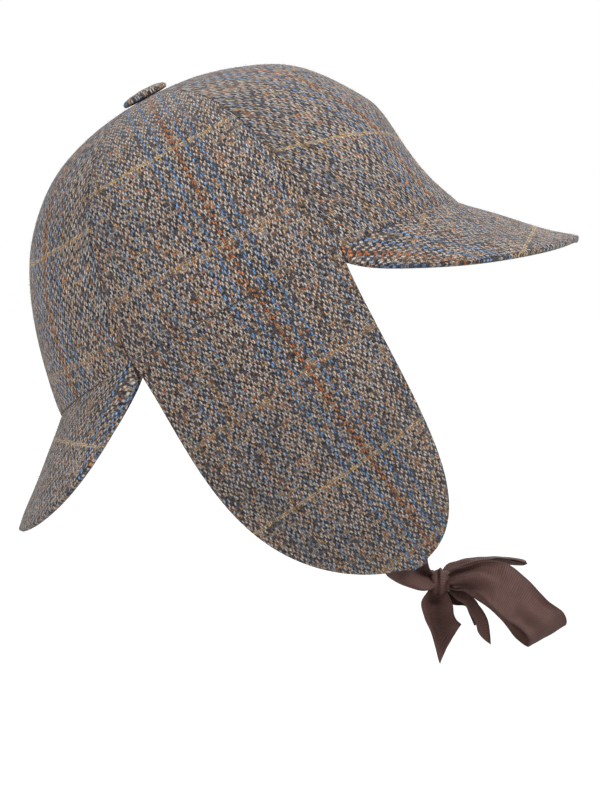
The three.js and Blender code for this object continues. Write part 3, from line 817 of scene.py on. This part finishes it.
def through(points, places):
    """Places, from 0 to 1, on a smooth centripetal curve through the points; and its direction there."""
    points = np.asarray(points, float)
    first, last = 2 * points[0] - points[1], 2 * points[-1] - points[-2]
    padded = np.concatenate([[first], points, [last]])

    def at(share):
        here = np.clip(share, 0, 1) * (len(points) - 1)
        index = np.minimum(here.astype(int), len(points) - 2)
        t = (here - index)[..., None]
        p0, p1, p2, p3 = (padded[index + k] for k in range(4))
        gaps = [np.maximum(np.linalg.norm(b - a, axis=-1, keepdims=True) ** 0.5, 1e-4)
                for a, b in ((p0, p1), (p1, p2), (p2, p3))]
        t1 = ((p1 - p0) / gaps[0] - (p2 - p0) / (gaps[0] + gaps[1]) + (p2 - p1) / gaps[1]) * gaps[1]
        t2 = ((p2 - p1) / gaps[1] - (p3 - p1) / (gaps[1] + gaps[2]) + (p3 - p2) / gaps[2]) * gaps[1]
        a, b = -3 * p1 + 3 * p2 - 2 * t1 - t2, 2 * p1 - 2 * p2 + t1 + t2
        return p1 + t1 * t + a * t ** 2 + b * t ** 3

    step = 1e-3
    way = at(places + step) - at(places - step)
    return at(places), way / np.linalg.norm(way, axis=-1, keepdims=True)


def pleat_height(chord, pleats):
    """How high a ribbon's pleats stand where its edges are that far apart."""
    share = np.linspace(0, 1, PLEAT_STEPS + 1)
    wave = np.diff(np.sin(np.pi * pleats * share))
    low, high = np.zeros_like(chord), np.full_like(chord, RIBBON_WIDTH)
    for _ in range(PLEAT_HALVINGS):
        middle = (low + high) / 2
        girth = np.hypot(chord[..., None] / PLEAT_STEPS, middle[..., None] * wave).sum(-1)
        low, high = np.where(girth < RIBBON_WIDTH, middle, low), np.where(girth < RIBBON_WIDTH, high, middle)
    return low


def ribbon(name, table, pleats, face, vee, held_first, seed):
    """A stretch of ribbon and its length. face says to which side its pleats stand, and vee how deep its
    end is cut; the knot holds its first row or its last."""
    table = np.asarray(table, float)
    rows = RIBBON_ROWS * (len(table) - 1) + 1
    inside = np.linspace(RIBBON_INSIDE, RIBBON_WIDTH - RIBBON_INSIDE, RIBBON_COLUMNS)
    share = np.concatenate([RIBBON_EDGE, inside, (RIBBON_WIDTH - RIBBON_EDGE)[::-1]]) / RIBBON_WIDTH
    gone, share = np.meshgrid(np.linspace(0, 1, rows), share, indexing="ij")
    along = gone * (1 - vee * (1 - np.abs(2 * share - 1)))
    a, way_a = through(table[:, :3], along)
    b, way_b = through(table[:, 3:], along)
    chord = b - a
    wide = np.linalg.norm(chord, axis=-1)
    way = way_a + way_b
    way /= np.linalg.norm(way, axis=-1, keepdims=True)
    normal = np.cross(chord, way)
    normal /= np.linalg.norm(normal, axis=-1, keepdims=True)
    height = face * pleat_height(np.minimum(wide, RIBBON_WIDTH), pleats)
    from_knot = np.clip((along if held_first else 1 - along) * (len(table) - 1) / KNOT_HOLD, 0, 1)
    height = height * (KNOT_PRESS + (1 - KNOT_PRESS) * from_knot * from_knot * (3 - 2 * from_knot))
    middle = a + chord * share[..., None] + normal * (height * np.sin(np.pi * pleats * share))[..., None]
    middle = middle + normal * (RIBBON_SWELL * ripple(middle, RIBBON_SWELL_WAVE, seed))[..., None]
    slope = height * np.pi * pleats * np.cos(np.pi * pleats * share) / wide
    out = normal - chord / wide[..., None] * slope[..., None]
    out /= np.linalg.norm(out, axis=-1, keepdims=True)
    near = np.clip(edge_distance(middle) / (RIBBON_THICK / 2), 0, 1)
    half = RIBBON_THICK / 2 * np.sqrt(1 - (1 - near) ** 2)
    length = run((a + b) / 2, 0)
    maps = np.stack([share * RIBBON_WIDTH, length], -1)
    piece = skin(name, middle + out * half[..., None], middle - out * half[..., None], maps, GROSGRAIN)
    return finish_piece(piece, "grosgrain", name.replace("ribbon_piece_", "")), float(length.max())


def worn_place(down, offset, lift, side):
    """A place on the inside of a flap, offset mm forwards of its middle and lift mm off the cloth."""
    across = offset / flap_half(down)
    inset = FLAP_CLOTH + RIBBON_THICK / 2 + lift
    return pitched(flap_point(down, across, side) - inset * flap_normal(down, across, side))


print("ribbon", RIBBON_WIDTH, "mm wide")

# %% [markdown]
# Two stretches come from inside the flap tips. The near loop goes out forwards and folds back under, the
# far one leaves on the other side, and both tails hang down with their ends cut aslant. Each row of a table
# is x, y and z of one edge and then of the other, in mm.

# %% ribbons
def chin_table(side):
    half = RIBBON_WIDTH / 2 + GAP
    return [
        [*worn_place(0.82, 2 - half, 2 * GAP, side), *worn_place(0.82, 2 + half, 2 * GAP, side)],
        [*worn_place(0.91, 3 - half, 4 * GAP, side), *worn_place(0.91, 3 + half, 4 * GAP, side)],
        [58, side * 17.5, -122, 77.5, side * 15.5, -116.8],
        [67, side * 11.5, -127.5, 78.6, side * 10, -120.2],
        [76.2, side * 5, -129.8, 80.2, side * 5, -122.4],
    ]


LOOP_NEAR = [
    [89.4, -5, -121.4, 90.4, -5, -130.4],
    [95, -7, -119.3, 95.6, -9, -130],
    [104, -8, -116.4, 101.4, -14, -131.4],
    [114.5, -8, -117.7, 107, -16, -137],
    [124.5, -9, -125.3, 113.2, -17, -142.8],
    [133.8, -9, -135, 119.3, -17, -146.4],
    [141.4, -7, -141, 124.2, -15, -151.8],
    [142.6, -2, -147, 124.2, -9.5, -156.4],
    [137.4, 0, -144.4, 118.8, -6.5, -152.8],
    [129, 0.6, -136, 113.6, -6.5, -146],
    [119, 0.6, -128, 107, -6, -139.4],
    [107, 0, -121.5, 100, -4.5, -134.4],
    [97.6, -1, -121.6, 94.8, -2.6, -131],
    [89.6, -1.8, -123.8, 90, -1.8, -129.6],
]
LOOP_FAR = [
    [87.8, 3, -122.4, 87, 7, -125],
    [93.6, 4, -119.8, 92.6, 16, -122.2],
    [103, 4.6, -117.2, 102, 24, -119.6],
    [113, 4.8, -116.4, 112, 26.4, -118.2],
    [121.5, 5, -117.6, 120.8, 26.6, -118.8],
    [124.8, 5, -118.8, 124.2, 26.6, -119.9],
    [121, 5, -118.8, 120.4, 26.4, -120.2],
    [112.4, 5, -117.1, 112, 25.4, -120],
    [102.6, 4.8, -118.6, 102, 22.4, -122],
    [94.4, 4.2, -122.8, 93.6, 14.6, -125.6],
    [88.6, 3.4, -125.4, 87.6, 7, -127.8],
]
TAIL_NEAR = [
    [78.0, -4.2, -131.0, 87.6, -3.6, -132.6],
    [74.9, -7, -136, 89.6, -4, -137.6],
    [76.4, -8, -143, 90.2, -3, -141.8],
    [79.6, -7.4, -150, 91.4, -1.6, -144.6],
    [83.6, -5, -165.2, 94.1, 0.8, -147],
]
TAIL_FAR = [
    [85.4, 3.6, -133, 91.6, 2.8, -130.6],
    [90.4, 9, -138.6, 97.2, 3.2, -132],
    [96.6, 13, -139.8, 102.2, 3.6, -138],
    [98.4, 15, -143.6, 106.4, 3.8, -144.6],
    [101, 16, -149.2, 108.2, 4.2, -157],
]
# every stretch runs on into the knot, to the row that is gripped there
GRIPPED = {
    "chin_right": [82.6, -1.6, -129.0, 83.4, -1.6, -124.6],
    "chin_left": [82.6, 1.6, -129.0, 83.4, 1.6, -124.6],
    "loop_near": [85.6, -1.4, -125.6, 85.8, -1.4, -129.0],
    "loop_far": [85.6, 1.4, -125.4, 85.4, 1.6, -128.4],
    "tail_near": [81.0, -0.6, -127.4, 86.0, -0.6, -128.0],
    "tail_far": [83.8, 1.2, -128.6, 86.6, 1.0, -127.8],
}
STRETCHES = [
    # node, table, pleats, face, cut back at the end, how it is held, what it comes from
    ("chin_ribbon_right", [*chin_table(-1), GRIPPED["chin_right"]], 2, -1, 0.0, "hung",
     "cloth_ear_flap_right"),
    ("chin_ribbon_left", [*chin_table(1), GRIPPED["chin_left"]], 2, 1, 0.0, "hung", "cloth_ear_flap_left"),
    ("bow_loop_near", [GRIPPED["loop_near"], *LOOP_NEAR], 3, -1, 0.0, "folded", "bow_knot_wrap"),
    ("bow_loop_far", [GRIPPED["loop_far"], *LOOP_FAR], 3, 1, 0.0, "folded", "bow_knot_wrap"),
    ("bow_tail_near", [GRIPPED["tail_near"], *TAIL_NEAR], 1, 1, 0.0, "hung", "bow_knot_wrap"),
    ("bow_tail_far", [GRIPPED["tail_far"], *TAIL_FAR], 2, 1, 0.15, "hung", "bow_knot_wrap"),
]
RIBBON_SEED = 11
stretches = []
for seed, (node_name, table, pleats, face, vee, held, rests) in enumerate(STRETCHES):
    held_first = not node_name.startswith("chin")
    piece, length = ribbon(f"ribbon_piece_{node_name}", table, pleats, face, vee, held_first,
                           RIBBON_SEED + seed)
    stretches.append((piece, length, held, rests))
    print(node_name, round(length, 1), "mm long")

# %% [markdown]
# The knot is the ribbon drawn tight: a small lump that a band goes round from top to bottom, in soft folds
# side by side, with the ribs lying along them.

# %% knot
KNOT_PLACE, KNOT_SIZE = np.array([83.6, -0.2, -127.0]), (5.9, 5.6, 6.3)
KNOT_ROWS, KNOT_SIDES, KNOT_ROUNDNESS, KNOT_TIGHT = 72, 120, 2.6, 0.97
DEEP_FOLD, FINE_FOLD = (0.09, 9.0, 0.8, 0.4), (0.03, 17.0, 1.3)  # depth, turns along, lean, start
KNOT_GIRTH = 4.7  # the radius that the ribbon's map is wrapped on

turn = np.linspace(0, 2 * np.pi, KNOT_SIDES, endpoint=False)
x, t = np.meshgrid(np.linspace(-1, 1, KNOT_ROWS)[1:-1], turn, indexing="ij")
round_off = (1 - np.abs(x) ** KNOT_ROUNDNESS) ** 0.5
deep, pace, lean, start = DEEP_FOLD
fold = deep * np.sin(x * pace + lean * np.sin(t) + start)
deep, pace, lean = FINE_FOLD
fold = fold + deep * np.sin(x * pace - lean * np.cos(t))
wide = round_off * (1 + fold * np.sqrt(round_off)) * KNOT_TIGHT
knot = np.stack([x * KNOT_SIZE[0], np.cos(t) * wide * KNOT_SIZE[1], np.sin(t) * wide * KNOT_SIZE[2]], -1)
points, faces = poled(knot, [-KNOT_SIZE[0], 0, 0], [KNOT_SIZE[0], 0, 0])
faces = [(face[0], *face[:0:-1]) for face in faces]
around = np.concatenate([[0], t.reshape(-1), [0]]) * KNOT_GIRTH
flat = np.stack([points[:, 0] + RIBBON_WIDTH / 2, around], -1)
corners = []
for face in faces:
    corner = flat[list(face)].copy()
    corner[corner[:, 1] < corner[:, 1].max() - np.pi * KNOT_GIRTH, 1] += 2 * np.pi * KNOT_GIRTH
    corners.append(corner)
wrap = smooth_piece("bow_knot_wrap", points + KNOT_PLACE, faces, np.concatenate(corners), GROSGRAIN)
finish_piece(wrap, "grosgrain", "bow_knot")
print("knot", [2 * size for size in KNOT_SIZE], "mm")

# %% [markdown]
# Woollen cloth is never clean edged: short fibres stand off it all over. They are scattered by a small
# node tree as bent, tapering hairs, and the result is kept as a plain mesh of its own.

# %% wool fibres
FIBRE_LENGTH, FIBRE_THICK = 1.1, 0.065
FIBRE_RINGS = [(0, 0, 1), (0.5, 0.12, 0.8), (0.85, 0.38, 0.5)]  # shares: height, lean and thickness
FIBRE_TIP_LEAN = 0.62
FIBRES_PER_M2, FIBRE_SEED = 72000.0, 100
FIBRE_TILT, FIBRE_SPIN, FIBRE_SIZES = 0.9, 6.28, (0.45, 1.25)  # radians, and shares of the length
FIBRE_DARK, FIBRE_PALE = (0.10, 0.09, 0.09), (0.42, 0.37, 0.33)


def fibre_mesh():
    points, faces = [], []
    for ring, (height, lean, size) in enumerate(FIBRE_RINGS):
        for corner in range(3):
            angle = 2 * math.pi * corner / 3
            points.append((
                (lean * FIBRE_LENGTH + size * FIBRE_THICK / 2 * math.cos(angle)) * MM,
                size * FIBRE_THICK / 2 * math.sin(angle) * MM,
                height * FIBRE_LENGTH * MM,
            ))
        if ring:
            for corner in range(3):
                low, high = 3 * (ring - 1) + corner, 3 * (ring - 1) + (corner + 1) % 3
                faces.append((low, high, high + 3, low + 3))
    points.append((FIBRE_TIP_LEAN * FIBRE_LENGTH * MM, 0, FIBRE_LENGTH * MM))
    faces += [(6, 7, 9), (7, 8, 9), (8, 6, 9), (2, 1, 0)]
    mesh = bpy.data.meshes.new("fibre")
    mesh.from_pydata(points, [], faces)
    return mesh


fibre_material, fibre_tree = material("wool_fibre")
spot = node(fibre_tree, "ShaderNodeTexCoord", None, 3)
patch = node(fibre_tree, "ShaderNodeTexNoise", Vector=spot, Scale=700.0, Detail=1.0)
tint = blend(fibre_tree, ((patch - 0.4) * 4.0).most(0.0).least(1.0), FIBRE_DARK, FIBRE_PALE)
paint(fibre_tree, Base_Color=tint, Roughness=0.9)
fibre_source = bpy.data.objects.new("fibre", fibre_mesh())


FIBRE_STEPS = {
    "start": "NodeGroupInput",
    "scatter": "GeometryNodeDistributePointsOnFaces",
    "spin": "FunctionNodeRandomValue",
    "euler": "FunctionNodeEulerToRotation",
    "turn_way": "FunctionNodeRotateRotation",
    "size": "FunctionNodeRandomValue",
    "source": "GeometryNodeObjectInfo",
    "stand": "GeometryNodeInstanceOnPoints",
    "real": "GeometryNodeRealizeInstances",
    "dress": "GeometryNodeSetMaterial",
    "end": "NodeGroupOutput",
}
FIBRE_JOINS = [
    # from a node's output to a node's input
    ("start", "Geometry", "scatter", "Mesh"),
    ("start", "Density", "scatter", "Density"),
    ("start", "Seed", "scatter", "Seed"),
    ("start", "Seed", "spin", "Seed"),
    ("start", "Seed", "size", "Seed"),
    ("start", "Fibre", "source", "Object"),
    ("spin", "Value", "euler", "Euler"),
    ("scatter", "Rotation", "turn_way", "Rotation"),
    ("euler", "Rotation", "turn_way", "Rotate By"),
    ("scatter", "Points", "stand", "Points"),
    ("source", "Geometry", "stand", "Instance"),
    ("turn_way", "Rotation", "stand", "Rotation"),
    ("size", 1, "stand", "Scale"),
    ("stand", "Instances", "real", "Geometry"),
    ("real", "Geometry", "dress", "Geometry"),
    ("start", "Material", "dress", "Material"),
    ("dress", "Geometry", "end", "Geometry"),
]


def fibre_nodes():
    tree = bpy.data.node_groups.new("wool_fibres", "GeometryNodeTree")
    face = tree.interface
    for label, kind in (("Geometry", "Geometry"), ("Density", "Float"), ("Seed", "Int"), ("Fibre", "Object"),
                        ("Material", "Material")):
        face.new_socket(name=label, in_out="INPUT", socket_type=f"NodeSocket{kind}")
    face.new_socket(name="Geometry", in_out="OUTPUT", socket_type="NodeSocketGeometry")
    made = {label: tree.nodes.new(kind) for label, kind in FIBRE_STEPS.items()}
    made["scatter"].distribute_method = "RANDOM"
    made["spin"].data_type = "FLOAT_VECTOR"
    made["spin"].inputs["Min"].default_value = (-FIBRE_TILT, -FIBRE_TILT, 0.0)
    made["spin"].inputs["Max"].default_value = (FIBRE_TILT, FIBRE_TILT, FIBRE_SPIN)
    made["turn_way"].rotation_space = "LOCAL"
    made["size"].data_type = "FLOAT"
    for socket, size in zip(made["size"].inputs[2:4], FIBRE_SIZES):
        socket.default_value = size
    for giver, output, taker, socket in FIBRE_JOINS:
        tree.links.new(made[giver].outputs[output], made[taker].inputs[socket])
    return tree


FIBRE_NODES = fibre_nodes()


def fibres(name, cloth, seed):
    scattered = bpy.data.objects.new(name, cloth.data.copy())
    bpy.context.scene.collection.objects.link(scattered)
    modifier = scattered.modifiers.new("fibres", "NODES")
    modifier.node_group = FIBRE_NODES
    values = {"Density": FIBRES_PER_M2, "Seed": seed, "Fibre": fibre_source, "Material": fibre_material}
    for socket in FIBRE_NODES.interface.items_tree:
        if socket.in_out == "INPUT" and socket.name in values:
            modifier[socket.identifier] = values[socket.name]
    bpy.context.view_layer.update()
    made = bpy.data.meshes.new_from_object(scattered.evaluated_get(bpy.context.evaluated_depsgraph_get()))
    scattered.modifiers.clear()
    scattered.data = made
    made.name = name
    made.polygons.foreach_set("use_smooth", [True] * len(made.polygons))
    return scattered


for seed, (label, piece) in enumerate(cloths.items()):
    hair = fibres(f"wool_{label}", piece, FIBRE_SEED + seed)
    finish_piece(hair, "tweed")

# %% [markdown]
# The flaps and every stretch of ribbon hang or fold freely, and the flat size that each stretch of ribbon
# was cut to is printed. The crown and the peaks are sewn and steamed to shape.

for hand in ("left", "right"):
    piece = cloths[f"flap_{hand}"]
for piece, length, held, rests in stretches:
    print(piece.name, "flat", RIBBON_WIDTH, "by", round(length, 1), "mm")

# %% [markdown]
# The finished hat's box is set beside the box of the solids, and how far it has grown is printed.

# %% how far the box has grown
low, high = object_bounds()
print("grown by", [round(v * 1000, 1) for v in (*(cad_low - low), *(high - cad_high))], "mm")
